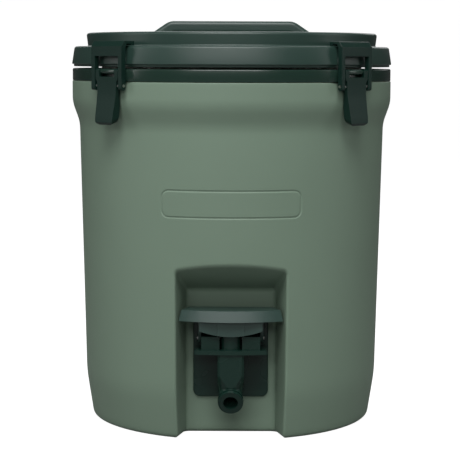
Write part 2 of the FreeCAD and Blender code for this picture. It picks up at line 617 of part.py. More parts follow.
def make_spigot_body():
    barrel = swept("spout_outside", "barrel_radius", size("deck_low") - size("seat_height"))
    rings = [spout_ring("spout_lip", 0.3, 2.4, 2.3), spout_ring("spout_step", 0.6, 4.8, 1.2)]
    y = "-barrel_y"
    shank = solid("Cylinder", "shank", ("0", "-58", "shank_height"), FRONT,
                  Radius="shank_radius", Height="barrel_y - 58")
    flange = solid("Cylinder", "clamp_flange", ("0", "-recess_depth_y - 2.6", "shank_height"), FRONT,
                   Radius="clamp_radius", Height="2.4")
    neck = solid("Cylinder", "neck", ("0", "-recess_depth_y - 4", "shank_height"), FRONT,
                 Radius="shank_radius + 0.6", Height="barrel_y - recess_depth_y - 4")
    box = new_body("barrel_box")
    front = "-barrel_y - sleeve_half"
    extrude(box, "XY_Plane", outline(("-sleeve_flat", front), ("sleeve_flat", front),
            ("sleeve_half", f"{front} + sleeve_corner"), ("sleeve_half", "-barrel_y + sleeve_flat"),
            ("-sleeve_half", "-barrel_y + sleeve_flat"), ("-sleeve_half", f"{front} + sleeve_corner")),
            "deck_low - sleeve_low + 0.5", shift="sleeve_low")
    taper = solid("Cone", "barrel_taper", ("0", y, "sleeve_low"), Radius1="barrel_radius + 0.15",
                  Radius2="barrel_radius + 11.5", Height="36")
    sleeve = common("barrel_sleeve", box, taper)
    slab = solid("Box", "deck_slab", ("-deck_half", "-deck_front - 2", "deck_low"),
                 Length="2 * deck_half", Width="deck_front - recess_depth_y - 1.2",
                 Height="deck_top - deck_low")
    arc = solid("Cylinder", "deck_arc", ("0", "-deck_front + 150", "deck_low - 1"), Radius="150", Height="8")
    deck = common("deck", slab, arc)
    blocks = []
    for side in (-1, 1):
        low = f"{side} * (block_in + block_out) / 2 - (block_out - block_in) / 2"
        blocks.append(solid("Box", "ear_block", (low, "-block_front", "deck_top - 0.5"),
                            Length="block_out - block_in", Width="block_front - pivot_y + 4.5",
                            Height="block_top - deck_top + 0.5"))
    boss = solid("Cylinder", "stem_boss", ("0", y, "deck_low"), Radius="boss_radius",
                 Height="block_top - deck_low")
    whole = fuse("spigot_whole", barrel, sleeve, *rings, shank, flange, neck, deck, *blocks, boss)

    outlet = swept("spout_inside", "bore_radius", 0)
    seat = solid("Cylinder", "seat_hole", ("0", y, "seat_height - 1"), Radius="seat_radius", Height="6")
    chamber = solid("Cylinder", "chamber", ("0", y, "seat_height + 3"), Radius="chamber_radius", Height="17")
    water = solid("Cylinder", "waterway", ("0", "-50", "shank_height"), FRONT,
                  Radius="water_radius", Height="barrel_y - 50")
    guide = solid("Cylinder", "stem_guide", ("0", y, "60"), Radius="stem_radius + 0.06", Height="40")
    gland = solid("Cylinder", "ring_gland", ("0", y, "72"), Radius="gland_radius", Height="2")
    spring = solid("Cylinder", "spring_pocket", ("0", y, "deck_top + 1.5"), Radius="spring_room", Height="20")
    pivot = solid("Cylinder", "pivot_hole", ("-60", "-pivot_y", "pivot_height"), SIDE,
                  Radius="pivot_bore", Height="120")
    finish(cut("spigot_cut", whole, outlet, seat, chamber, water, guide, gland, spring, pivot), "spigot_body")


def make_spigot_fittings():
    plate = new_body("escutcheon")
    extrude(plate, "XZ_Plane", outline(("-plate_half", "plate_low"), ("plate_half", "plate_low"),
            ("plate_half", "plate_high"), ("-plate_half", "plate_high")), "plate_thick",
            shift="recess_depth_y + 0.15")
    round_edges(plate, "plate_round", lambda e: e.BoundBox.YLength > 2 and e.BoundBox.XLength < 0.01
                and e.BoundBox.ZLength < 0.01)
    extrude(plate, "XZ_Plane", disc("0", "shank_height", "washer_radius + 0.3"), THROUGH, cut=True, both=True)
    finish(plate, "spigot_escutcheon")
    finish(tube("outer_washer", "washer_radius", "shank_radius + 0.2", "2.3",
                ("0", "-recess_depth_y - 0.15", "shank_height"), FRONT), "spigot_outer_gasket")
    finish(tube("inner_washer", "washer_radius", "shank_radius + 0.2", "2.2",
                ("0", "-liner_front + liner_wall + 2.3", "shank_height"), FRONT), "spigot_inner_gasket")
    nut = DOC.addObject("Part::Prism", "nut_blank")
    nut.Polygon = 6
    bind(nut, "Circumradius", "nut_corner")
    bind(nut, "Height", "nut_tall")
    nut.Placement = FreeCAD.Placement(FreeCAD.Vector(), FRONT)
    bind(nut, "Placement.Base.y", "-liner_front + liner_wall + 2.4 + nut_tall")
    bind(nut, "Placement.Base.z", "shank_height")
    hole = solid("Cylinder", "nut_hole", ("0", "-50", "shank_height"), FRONT,
                 Radius="shank_radius + 0.02", Height="40")
    finish(cut("nut_cut", nut, hole), "spigot_nut")
    finish(solid("Cylinder", "pivot_pin", ("-29", "-pivot_y", "pivot_height"), SIDE,
                 Radius="pivot_bore - 0.02", Height="58"), "paddle_pivot_pin")


def make_valve():
    y = "-barrel_y"
    rod = solid("Cylinder", "stem_rod", ("0", y, "seat_height - 5"), Radius="stem_radius", Height="49")
    cap = solid("Cylinder", "stem_cap", ("0", y, "cap_low"), Radius="cap_radius", Height="3.6")
    holder = solid("Cylinder", "seal_holder", ("0", y, "seat_height - 5"), Radius="4.5", Height="1.8")
    finish(fuse("stem_fused", rod, cap, holder), "valve_stem")
    finish(tube("seal_disc", "5.9", "stem_radius", "2.6", ("0", y, "seat_height - 3.1")), "valve_seal")
    ring = solid("Torus", "stem_ring", ("0", y, "73"), Radius1="stem_radius + 0.05 + 0.75", Radius2="0.75")
    finish(ring, "stem_o_ring")

    helix = Part.makeHelix(3.2, 13, size("coil_radius"))
    start = helix.Vertexes[0].Point
    wire = Part.Wire([Part.Circle(start, FreeCAD.Vector(0, 1, 0), 0.55).toShape()])
    coil = DOC.addObject("Part::Feature", "coil")
    coil.Shape = Part.Wire(helix).makePipeShell([wire], True, True)
    coil.Placement.Base = FreeCAD.Vector(0, -size("barrel_y"), size("deck_top") + 2.15)
    finish(coil, "return_spring")


def paddle_form(name, inset, low, top):
    """Fan-shaped block with drafted sides and a sloped, arched front."""
    body = new_body(name)
    rear = f"recess_half - 0.7 - {inset}"
    front = f"paddle_half - {inset}"
    pad = extrude(body, "XY_Plane", outline(
        (f"-({rear})", f"-paddle_back - {inset}"), (rear, f"-paddle_back - {inset}"),
        (front, "-paddle_front + 11"), (front, "-paddle_front - 3"), (f"-({front})", "-paddle_front - 3"),
        (f"-({front})", "-paddle_front + 11")), f"{top} - ({low})", shift=low)
    pad.TaperAngle = -13
    fan = solid("Cone", name + "_fan", ("0", "paddle_arc - paddle_front", low),
                Radius1=f"paddle_arc - {inset}", Height=f"{top} - ({low})",
                Radius2=f"paddle_arc - {inset} - ({top} - ({low})) * tan(15)")
    return common(name + "_shape", body, fan)


def make_paddle():
    block = paddle_form("paddle_block", "0", "paddle_low", "paddle_top")
    hollow = paddle_form("paddle_hollow", "2.5", "paddle_low - 1", "paddle_top - 3")
    skirt_arc = solid("Cylinder", "skirt_arc", ("0", "-100", "skirt_height"), FRONT,
                      Radius="skirt_round", Height="40")
    skirt_box = solid("Box", "skirt_box", ("-skirt_half", "-skirt_front", "88"),
                      Length="2 * skirt_half", Width="2.6", Height="22")
    skirt = common("skirt", skirt_box, skirt_arc)
    middle_box = solid("Box", "middle_box", ("-middle_half", "-middle_front", "88"),
                       Length="2 * middle_half", Width="3", Height="22")
    middle = common("skirt_middle", middle_box, skirt_arc)
    ribs = [solid("Box", "cam_rib", ("-cam_half", "-barrel_y - 1", "cam_low"),
                  Length="2 * cam_half", Width="2", Height="13")]
    for side in (-1, 1):
        arm = new_body("arm")
        extrude(arm, "YZ_Plane", outline(
            ("-pivot_y + 3.2", "pivot_height - 2"), ("-pivot_y + 2", "pivot_height - 3.5"),
            ("-pivot_y - 2", "pivot_height - 3.5"), ("-pivot_y - 4", "pivot_height - 1"),
            ("-pivot_y - 12", "110"), ("-paddle_back - 1", "110")), "arm_thick",
                shift=f"{side} * arm_x - arm_thick / 2")
        ribs.append(arm)
    hole = solid("Cylinder", "arm_hole", ("-60", "-pivot_y", "pivot_height"), SIDE,
                 Radius="pivot_bore + 0.03", Height="120")
    shell = cut("paddle_shell", block, hollow)
    finish(cut("paddle_cut", fuse("paddle_fused", shell, skirt, middle, *ribs), hole), "spigot_paddle")


def export():
    DOC.recompute()
    for item in DOC.Objects:
        if {"Invalid", "Error"} & set(item.State):
            raise RuntimeError(f"{item.Label} failed: {item.State}")
    os.makedirs("parts", exist_ok=True)
    for item in PARTS:
        shape = item.Shape
        if shape.isNull() or not shape.isValid() or not shape.Solids:
            raise RuntimeError(f"{item.Label} has no valid solid")
        shape.exportStep(f"parts/{item.Label}.step")
        box = shape.BoundBox
        print(f"{item.Label:32s} solids {len(shape.Solids)} volume {shape.Volume / 1000:9.2f} cm3 "
              f"z {box.ZMin:7.2f} {box.ZMax:7.2f}")


make_outer_shell()
make_foam_and_liner()
make_collar()
make_latches()
make_lid()
make_handle()
make_spigot_body()
make_spigot_fittings()
make_valve()
make_paddle()
export()
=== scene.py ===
import math

import bmesh
import bpy
from mathutils import Matrix, Vector


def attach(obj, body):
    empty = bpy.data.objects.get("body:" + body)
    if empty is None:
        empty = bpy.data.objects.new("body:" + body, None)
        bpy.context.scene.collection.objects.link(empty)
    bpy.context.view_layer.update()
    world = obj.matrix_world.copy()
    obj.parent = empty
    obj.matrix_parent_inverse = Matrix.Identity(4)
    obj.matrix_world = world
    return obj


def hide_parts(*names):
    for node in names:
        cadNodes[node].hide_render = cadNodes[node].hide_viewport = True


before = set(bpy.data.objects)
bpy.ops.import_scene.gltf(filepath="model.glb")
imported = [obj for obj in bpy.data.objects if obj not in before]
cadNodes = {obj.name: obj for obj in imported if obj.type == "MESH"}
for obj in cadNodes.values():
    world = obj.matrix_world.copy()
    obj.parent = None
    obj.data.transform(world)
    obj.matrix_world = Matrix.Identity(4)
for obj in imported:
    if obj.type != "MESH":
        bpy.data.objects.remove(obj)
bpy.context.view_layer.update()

mm = 0.001
weldReach = 2e-6
latchTurns = {"front_left": -45, "front_right": 45, "rear_right": 135, "rear_left": -135}


# small mesh helpers

def makeObject(name, mesh):
    item = bpy.data.objects.new(name, mesh)
    bpy.context.scene.collection.objects.link(item)
    return item


def meshFrom(name, points, faces):
    mesh = bpy.data.meshes.new(name)
    mesh.from_pydata(points, [], faces)
    return mesh


def tidyMesh(mesh, weld=weldReach):
    # doubles merged and faces turned outwards
    work = bmesh.new()
    work.from_mesh(mesh)
    bmesh.ops.remove_doubles(work, verts=work.verts, dist=weld)
    bmesh.ops.recalc_face_normals(work, faces=work.faces)
    if work.calc_volume(signed=True) < 0:
        bmesh.ops.reverse_faces(work, faces=work.faces)
    work.to_mesh(mesh)
    work.free()


def settled(item):
    # the item's modifiers worked into a plain mesh
    graph = bpy.context.evaluated_depsgraph_get()
    mesh = bpy.data.meshes.new_from_object(item.evaluated_get(graph))
    item.modifiers.clear()
    item.data = mesh
    return item


def addBevel(item, width, segments=2, angle=32):
    bevel = item.modifiers.new("softEdge", "BEVEL")
    bevel.width = width * mm
    bevel.segments = segments
    bevel.limit_method = "ANGLE"
    bevel.angle_limit = math.radians(angle)
    bevel.miter_outer = "MITER_ARC"


def shade(item, crease=40):
    item.data.polygons.foreach_set("use_smooth", [True] * len(item.data.polygons))
    item.data.set_sharp_from_angle(angle=math.radians(crease))
    return item


def prism(name, outline, low, high, place):
    # a closed outline pushed from low to high; place(a, b, c) gives each corner in mm
    count = len(outline)
    points = [Vector(place(a, b, c)) * mm for c in (low, high) for a, b in outline]
    faces = [tuple(range(count))[::-1], tuple(range(count, 2 * count))]
    faces += [(i, (i + 1) % count, (i + 1) % count + count, i + count) for i in range(count)]
    mesh = meshFrom(name, points, faces)
    tidyMesh(mesh)
    return makeObject(name, mesh)


def joined(name, items):
    # several settled items as one object
    work = bmesh.new()
    for item in items:
        work.from_mesh(item.data)
    mesh = bpy.data.meshes.new(name)
    work.to_mesh(mesh)
    work.free()
    for item in items:
        bpy.data.objects.remove(item)
    return makeObject(name, mesh)


softening = {"sliver": 1e-6, "flat": 1.0, "crease": 60}   # metres, degrees, degrees


def softCopy(name, node, width):
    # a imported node's form with its flats joined up and its edges rounded
    mesh = cadNodes[node].data.copy()
    work = bmesh.new()
    work.from_mesh(mesh)
    bmesh.ops.remove_doubles(work, verts=work.verts, dist=weldReach)
    bmesh.ops.dissolve_degenerate(work, edges=work.edges, dist=softening["sliver"])
    bmesh.ops.dissolve_limit(work, angle_limit=math.radians(softening["flat"]),
                             verts=work.verts, edges=work.edges)
    work.to_mesh(mesh)
    work.free()
    mesh.materials.clear()
    item = makeObject(name, mesh)
    addBevel(item, width)
    weighted = item.modifiers.new("evenShading", "WEIGHTED_NORMAL")
    weighted.keep_sharp = True
    shade(item, softening["crease"])
    return settled(item)


def dress(item, material, body, slot, *replaced):
    item.data.materials.clear()
    item.data.materials.append(material)
    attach(item, body)
    if replaced:
        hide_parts(*replaced)
    return item


# shader node groups that several finishes share

def newGroup(name, inputs, outputs):
    group = bpy.data.node_groups.new(name, "ShaderNodeTree")
    for label, kind, value in inputs:
        socket = group.interface.new_socket(label, in_out="INPUT", socket_type=kind)
        socket.default_value = value
    for label, kind in outputs:
        group.interface.new_socket(label, in_out="OUTPUT", socket_type=kind)
    return group, group.nodes.new("NodeGroupInput"), group.nodes.new("NodeGroupOutput")


def addNode(tree, kind, **settings):
    node = tree.nodes.new(kind)
    for key, value in settings.items():
        if key.startswith("in_"):
            node.inputs[key[3:].replace("_", " ")].default_value = value
        else:
            setattr(node, key, value)
    return node


def feed(tree, value, target):
    # a socket's value is linked, a plain one is set
    if hasattr(value, "links"):
        tree.links.new(value, target)
    else:
        target.default_value = value


def mathNode(tree, operation, first, second, clamp=False):
    node = tree.nodes.new("ShaderNodeMath")
    node.operation = operation
    node.use_clamp = clamp
    for spot, value in enumerate((first, second)):
        feed(tree, value, node.inputs[spot])
    return node.outputs[0]


def makeMouldedGrain():
    # fine spark-eroded texture and a slow drift in colour and shine
    group, given, out = newGroup("mouldedGrain", [
        ("Grain Size", "NodeSocketFloat", 0.0006), ("Drift Size", "NodeSocketFloat", 0.05)],
        [("Height", "NodeSocketFloat"), ("Drift", "NodeSocketFloat"), ("Fleck", "NodeSocketFloat")])
    place = addNode(group, "ShaderNodeTexCoord")
    fine = addNode(group, "ShaderNodeTexNoise", in_Detail=3.0, in_Roughness=0.6)
    slow = addNode(group, "ShaderNodeTexNoise", in_Detail=2.0, in_Roughness=0.5)
    for noise, label in ((fine, "Grain Size"), (slow, "Drift Size")):
        group.links.new(place.outputs["Object"], noise.inputs["Vector"])
        group.links.new(mathNode(group, "DIVIDE", 1.0, given.outputs[label]), noise.inputs["Scale"])
    group.links.new(fine.outputs["Fac"], out.inputs["Height"])
    group.links.new(slow.outputs["Fac"], out.inputs["Drift"])
    specks = addNode(group, "ShaderNodeMapRange", in_From_Min=0.62, in_From_Max=0.75)
    group.links.new(fine.outputs["Fac"], specks.inputs["Value"])
    group.links.new(specks.outputs["Result"], out.inputs["Fleck"])
    return group


def makeHandledEdge():
    # mask that is 1 where the rounded normal leaves the true one, broken up as rubbing leaves it
    contrast = 5.0
    group, given, out = newGroup("handledEdge", [
        ("Reach", "NodeSocketFloat", 0.0012), ("Break Up", "NodeSocketFloat", 0.012)],
        [("Edge", "NodeSocketFloat")])
    soft = addNode(group, "ShaderNodeBevel", samples=4)
    group.links.new(given.outputs["Reach"], soft.inputs["Radius"])
    surface = addNode(group, "ShaderNodeNewGeometry")
    turn = addNode(group, "ShaderNodeVectorMath", operation="DOT_PRODUCT")
    group.links.new(soft.outputs["Normal"], turn.inputs[0])
    group.links.new(surface.outputs["Normal"], turn.inputs[1])
    bend = mathNode(group, "SUBTRACT", 1.0, turn.outputs["Value"])
    bent = mathNode(group, "MULTIPLY", bend, contrast, clamp=True)
    place = addNode(group, "ShaderNodeTexCoord")
    broken = addNode(group, "ShaderNodeTexNoise", in_Detail=4.0)
    group.links.new(place.outputs["Object"], broken.inputs["Vector"])
    group.links.new(mathNode(group, "DIVIDE", 1.0, given.outputs["Break Up"]), broken.inputs["Scale"])
    patchy = addNode(group, "ShaderNodeMapRange", in_From_Min=0.35, in_From_Max=0.65)
    group.links.new(broken.outputs["Fac"], patchy.inputs["Value"])
    group.links.new(mathNode(group, "MULTIPLY", bent, patchy.outputs["Result"]), out.inputs["Edge"])
    return group


mouldedGrain = makeMouldedGrain()
handledEdge = makeHandledEdge()


def linear(red, green, blue):
    # a screen colour, 0 to 255, as light
    return tuple(c / 12.92 if c <= 0.04045 else ((c + 0.055) / 1.055) ** 2.4
                 for c in (red / 255, green / 255, blue / 255)) + (1.0,)


def mixColour(tree, amount, first, second):
    node = addNode(tree, "ShaderNodeMix", data_type="RGBA")
    tree.links.new(amount, node.inputs["Factor"])
    for spot, value in ((6, first), (7, second)):   # the colour A and B sockets
        feed(tree, value, node.inputs[spot])
    return node.outputs[2]


def scaled(colour, factor):
    return tuple(min(1.0, c * factor) for c in colour[:3]) + (1.0,)


def roughnessFrom(tree, pattern, edge, look, polish):
    # roughness that follows a pattern and drops where edges are rubbed
    spread = addNode(tree, "ShaderNodeMapRange")
    spread.inputs["To Min"].default_value = look["roughness"] - look["roughDrift"]
    spread.inputs["To Max"].default_value = look["roughness"] + look["roughDrift"]
    tree.links.new(pattern, spread.inputs["Value"])
    rubbed = mathNode(tree, "MULTIPLY", edge, polish)
    return mathNode(tree, "SUBTRACT", spread.outputs["Result"], rubbed, clamp=True)


def bumpFrom(tree, height, look):
    bump = addNode(tree, "ShaderNodeBump", in_Strength=look["bump"], in_Distance=look["bumpDepth"])
    tree.links.new(height, bump.inputs["Height"])
    return bump.outputs["Normal"]


def startMaterial(name):
    material = bpy.data.materials.new(name)
    material.use_nodes = True
    tree = material.node_tree
    return material, tree, tree.nodes["Principled BSDF"]


def mouldedPlastic(name, look):
    material, tree, shader = startMaterial(name)
    grain = addNode(tree, "ShaderNodeGroup", node_tree=mouldedGrain)
    grain.inputs["Grain Size"].default_value = look["grainSize"]
    grain.inputs["Drift Size"].default_value = look["driftSize"]
    edge = addNode(tree, "ShaderNodeGroup", node_tree=handledEdge)
    edge.inputs["Reach"].default_value = look["edgeReach"]
    base = linear(*look["colour"])
    rubbed = scaled(base, look["rubbed"])
    colour = mixColour(tree, grain.outputs["Drift"], scaled(base, 1 - look["drift"]),
                       scaled(base, 1 + look["drift"]))
    flecked = mathNode(tree, "MULTIPLY", grain.outputs["Fleck"], look["fleck"])
    speckled = mixColour(tree, flecked, colour, rubbed)
    wear = mathNode(tree, "MULTIPLY", edge.outputs["Edge"], look["wear"])
    tree.links.new(mixColour(tree, wear, speckled, rubbed), shader.inputs["Base Color"])
    shine = roughnessFrom(tree, grain.outputs["Drift"], edge.outputs["Edge"], look,
                          look["wear"] * look["polish"])
    tree.links.new(shine, shader.inputs["Roughness"])
    tree.links.new(bumpFrom(tree, grain.outputs["Height"], look), shader.inputs["Normal"])
    shader.inputs["Specular IOR Level"].default_value = look["specular"]
    return material


# colours are screen values, sizes metres; drift, fleck, wear and polish are shares
shellLook = {"colour": (114, 134, 117), "grainSize": 0.0007, "driftSize": 0.06, "drift": 0.035,
             "edgeReach": 0.002, "rubbed": 1.25, "fleck": 0.05, "wear": 0.25, "polish": 0.3,
             "roughness": 0.56, "roughDrift": 0.05, "bump": 0.25, "bumpDepth": 0.00012, "specular": 0.42}
lidLook = {"colour": (35, 58, 51), "grainSize": 0.0006, "driftSize": 0.04, "drift": 0.05,
           "edgeReach": 0.0012, "rubbed": 1.7, "fleck": 0.06, "wear": 0.35, "polish": 0.3,
           "roughness": 0.4, "roughDrift": 0.05, "bump": 0.22, "bumpDepth": 0.0001, "specular": 0.6}
collarLook = dict(lidLook, colour=(28, 49, 41), roughness=0.24, roughDrift=0.04, bump=0.08, drift=0.04)
latchLook = dict(lidLook, colour=(19, 41, 35), edgeReach=0.0008, roughness=0.34, specular=0.2)
spigotLook = dict(lidLook, colour=(21, 45, 38), edgeReach=0.0009, roughness=0.27, specular=0.34)
# the paddle is the spigot's own green painted lighter: a painted highlight for its brightly lit,
# upward-facing face
paddlePaintedHighlightLook = dict(spigotLook, colour=(48, 70, 64), roughness=0.36, specular=0.65)
linerLook = dict(lidLook, colour=(222, 222, 214), rubbed=0.85, drift=0.02, roughness=0.35,
                 bump=0.08, wear=0.1)
sealLook = dict(lidLook, colour=(206, 206, 198), rubbed=0.8, drift=0.03, roughness=0.62,
                bump=0.12, wear=0.1)
foamLook = dict(lidLook, colour=(222, 208, 160), rubbed=0.7, drift=0.08, roughness=0.9,
                grainSize=0.0016, bump=0.8, bumpDepth=0.0006, fleck=0.5, wear=0.2)
plastics = {name: mouldedPlastic(name, look) for name, look in (
    ("sageShell", shellLook), ("lidGreen", lidLook), ("collarGreen", collarLook),
    ("latchGreen", latchLook), ("spigotGreen", spigotLook), ("paddleGreen", paddlePaintedHighlightLook),
    ("linerWhite", linerLook), ("siliconeSeal", sealLook), ("insulatingFoam", foamLook))}


steelLook = {"colour": (198, 198, 196), "dull": 0.7, "roughness": 0.3, "roughDrift": 0.12,
             "drawing": (400, 400, 9000), "edgeReach": 0.0004, "polish": 0.1,
             "bump": 0.3, "bumpDepth": 0.00003}


def drawnSteel(look):
    # stainless with fine drawing lines
    material, tree, shader = startMaterial("drawnSteel")
    shader.inputs["Metallic"].default_value = 1.0
    place = addNode(tree, "ShaderNodeTexCoord")
    stretch = addNode(tree, "ShaderNodeMapping")
    stretch.inputs["Scale"].default_value = look["drawing"]
    lines = addNode(tree, "ShaderNodeTexNoise", in_Scale=1.0, in_Detail=3.0)
    tree.links.new(place.outputs["Object"], stretch.inputs["Vector"])
    tree.links.new(stretch.outputs["Vector"], lines.inputs["Vector"])
    edge = addNode(tree, "ShaderNodeGroup", node_tree=handledEdge)
    edge.inputs["Reach"].default_value = look["edgeReach"]
    base = linear(*look["colour"])
    drawn = mixColour(tree, lines.outputs["Fac"], scaled(base, look["dull"]), base)
    tree.links.new(drawn, shader.inputs["Base Color"])
    shine = roughnessFrom(tree, lines.outputs["Fac"], edge.outputs["Edge"], look, look["polish"])
    tree.links.new(shine, shader.inputs["Roughness"])
    tree.links.new(bumpFrom(tree, lines.outputs["Fac"], look), shader.inputs["Normal"])
    return material


steel = drawnSteel(steelLook)
print("finishes ready:", len(bpy.data.materials))


# moulded shell: rings of points up the wall, the recess worked in as rounded planes

shell = {
    "outline": [(0, 126.6), (40, 132.8), (268, 138.1), (286, 144.5), (305.5, 144.5)],   # height, radius
    "bendReach": {40: 9, 268: 5.5, 286: 5.5},      # half height over which each bend is rounded
    "top": 305.5, "topRound": 0.8, "baseRound": 4.0, "wall": 3.0,
    "recessBack": -92, "recessHalf": 38.5, "recessDraft": 14.5, "recessTop": 126.7, "ceilingSlope": 30,
    "innerRound": 2.6, "mouthRound": 2.2,
    "blankHalf": (60, 12.5), "blankMiddle": 203.5, "blankCorner": 7, "blankLine": 2.4, "blankDepth": 0.6,
    # mesh lines, as (from, to, step): across the front from its middle, up the outside, down the inside
    "across": [(0, 35, 0.9), (35, 53, 0.4), (53, 62, 0.45)], "acrossLast": [62, 63, 64],
    "footRows": [0.0002, 0.06, 0.25, 0.6, 1.1, 1.8, 2.7],
    "rows": [(4, 28, 4), (28, 52, 2.4), (52, 118, 9), (118, 158, 0.8), (158, 188, 6), (188, 198.5, 0.38),
             (198.5, 208.5, 2), (208.5, 218, 0.38), (218, 262, 8), (262, 292, 1.1), (292, 304.7, 3)],
    "headRows": [304.7, 304.9, 305.15, 305.35, 305.45], "hair": 0.0002,
    "insideRows": [(300, 258, 6), (258, 160, 14), (160, 118, 4), (118, 10, 12)], "insideFloor": 4.5,
    # share drawn in to the middle, and height
    "underside": [(1.0, 1.5), (0.6, 1.5), (0.3, 1.5), (0.115, 1.5), (0.095, 0.9), (0.085, 0.0), (0.03, 0.0)],
    "floorRings": (0.4, 1.0), "middle": (0, 30, 0), "backColumns": 84,
    "probe": (-150.0, -80.0), "halvings": 26, "weld": 1e-6, "sliver": 1e-7, "crease": 50,
}


def shellRadius(z):
    line = shell["outline"]
    for (z0, r0), (z1, r1), (z2, r2) in zip(line, line[1:], line[2:]):
        reach = shell["bendReach"][z1]
        if abs(z - z1) < reach:
            before, after = (r1 - r0) / (z1 - z0), (r2 - r1) / (z2 - z1)
            return r1 + before * (z - z1) + (after - before) * (z - z1 + reach) ** 2 / (4 * reach)
    for (z0, r0), (z1, r1) in zip(line, line[1:]):
        if z <= z1:
            return r0 + (r1 - r0) * (z - z0) / (z1 - z0)
    return line[-1][1]


def roundJoin(first, second, radius):
    # two distances joined as an outside corner of this radius
    return (min(-radius, max(first, second))
            + math.hypot(max(radius + first, 0), max(radius + second, 0)))


def blankGroove(x, z):
    # depth of the plain engraved outline at a point on the front
    half, tall = shell["blankHalf"]
    corner, line = shell["blankCorner"], shell["blankLine"] / 2
    dx, dz = abs(x) - half + corner, abs(z - shell["blankMiddle"]) - tall + corner
    away = min(max(dx, dz), 0) + math.hypot(max(dx, 0), max(dz, 0)) - corner + line
    fall = max(0.0, 1 - abs(away) / line)
    return shell["blankDepth"] * fall * fall * (3 - 2 * fall)


draft, slope = math.radians(shell["recessDraft"]), math.radians(shell["ceilingSlope"])


def shellDistance(x, y, z):
    skin = math.hypot(x, y) - shellRadius(z) + blankGroove(x, z)
    deep = y - shell["recessBack"]
    side = (abs(x) - shell["recessHalf"]) * math.cos(draft) + deep * math.sin(draft)
    ceiling = (z - shell["recessTop"]) * math.cos(slope) + deep * math.sin(slope)
    room = roundJoin(roundJoin(deep, side, shell["innerRound"]), ceiling, shell["innerRound"])
    skin = roundJoin(skin, -room, shell["mouthRound"])
    skin = roundJoin(skin, -z, shell["baseRound"])
    return roundJoin(skin, z - shell["top"], shell["topRound"])


def frontDepth(x, z, inset):
    # y where the front's skin lies, found by halving
    out, into = shell["probe"]
    for _ in range(shell["halvings"]):
        middle = (out + into) / 2
        if shellDistance(x, middle, z) > -inset:
            out = middle
        else:
            into = middle
    return out


def turnedRadius(z, inset):
    # the wall's radius away from the recess, with its rounded foot and top edge
    radius = shellRadius(z)
    foot, head = shell["baseRound"], shell["topRound"]
    if z < foot and inset == 0:
        radius -= foot - math.sqrt(max(0.0, foot * foot - (foot - z) ** 2))
    if z > shell["top"] - head and inset == 0:
        radius -= head - math.sqrt(max(0.0, head * head - (z - shell["top"] + head) ** 2))
    return radius - inset


def steps(spans):
    # even steps over each span, its end left to the next span
    places = []
    for start, stop, step in spans:
        count = max(1, round(abs(stop - start) / step))
        places += [start + (stop - start) * i / count for i in range(count)]
    return places


def ringAt(z, inset, across):
    ring = [(x, frontDepth(x, z, inset), z) for x in across]
    radius, count = turnedRadius(z, inset), shell["backColumns"]
    start = math.asin(min(1, across[-1] / radius))
    for i in range(1, count):
        angle = start + (2 * math.pi - 2 * start) * i / count
        ring.append((radius * math.sin(angle), -radius * math.cos(angle), z))
    return ring


def drawnIn(ring, share, z):
    # a ring shrunk towards the middle of the foot
    return [tuple(Vector((x, y, 0)).lerp(Vector(shell["middle"]), share).xy) + (z,) for x, y, _ in ring]


def makeShell():
    half = steps(shell["across"]) + shell["acrossLast"]
    across = [-x for x in half[:0:-1]] + half
    rim = shell["top"] - shell["hair"]
    rows = shell["footRows"] + steps(shell["rows"]) + shell["headRows"] + [rim]
    inside = [rim] + steps(shell["insideRows"]) + [shell["insideFloor"]]
    outside = [ringAt(z, 0, across) for z in rows]
    lining = [ringAt(z, shell["wall"], across) for z in inside]
    rings = [drawnIn(outside[0], share, z) for share, z in shell["underside"]]
    rings += outside + lining
    rings += [drawnIn(lining[-1], share, inside[-1]) for share in shell["floorRings"]]
    count = len(outside[0])
    points = [Vector(p) * mm for ring in rings for p in ring]
    faces = []
    for row in range(len(rings) - 1):
        low, high = row * count, (row + 1) * count
        for i in range(count):
            j = (i + 1) % count
            faces.append((low + i, low + j, high + j, high + i))
    mesh = meshFrom("jugShell", points, faces)
    tidyMesh(mesh, shell["weld"])
    work = bmesh.new()
    work.from_mesh(mesh)
    bmesh.ops.dissolve_degenerate(work, edges=work.edges, dist=shell["sliver"])
    work.to_mesh(mesh)
    work.free()
    return shade(makeObject("jugShell", mesh), shell["crease"])


dress(makeShell(), plastics["sageShell"], "jug", "sage_shell", "outer_shell")
print("shell made")


# turned mouldings: a half profile swept round the axis by a node tree

def endTree(tree, geometry, material):
    real = tree.nodes.new("GeometryNodeRealizeInstances")
    paint = tree.nodes.new("GeometryNodeSetMaterial")
    out = tree.nodes.new("NodeGroupOutput")
    tree.interface.new_socket("Geometry", in_out="OUTPUT", socket_type="NodeSocketGeometry")
    tree.links.new(geometry, real.inputs[0])
    tree.links.new(real.outputs[0], paint.inputs["Geometry"])
    tree.links.new(material, paint.inputs["Material"])
    tree.links.new(paint.outputs[0], out.inputs[0])


def startTree(name, inputs):
    tree = bpy.data.node_groups.new(name, "GeometryNodeTree")
    ids = {}
    for label, kind in inputs:
        socket = tree.interface.new_socket(label, in_out="INPUT", socket_type="NodeSocket" + kind)
        ids[label] = socket.identifier
    return tree, ids, tree.nodes.new("NodeGroupInput")


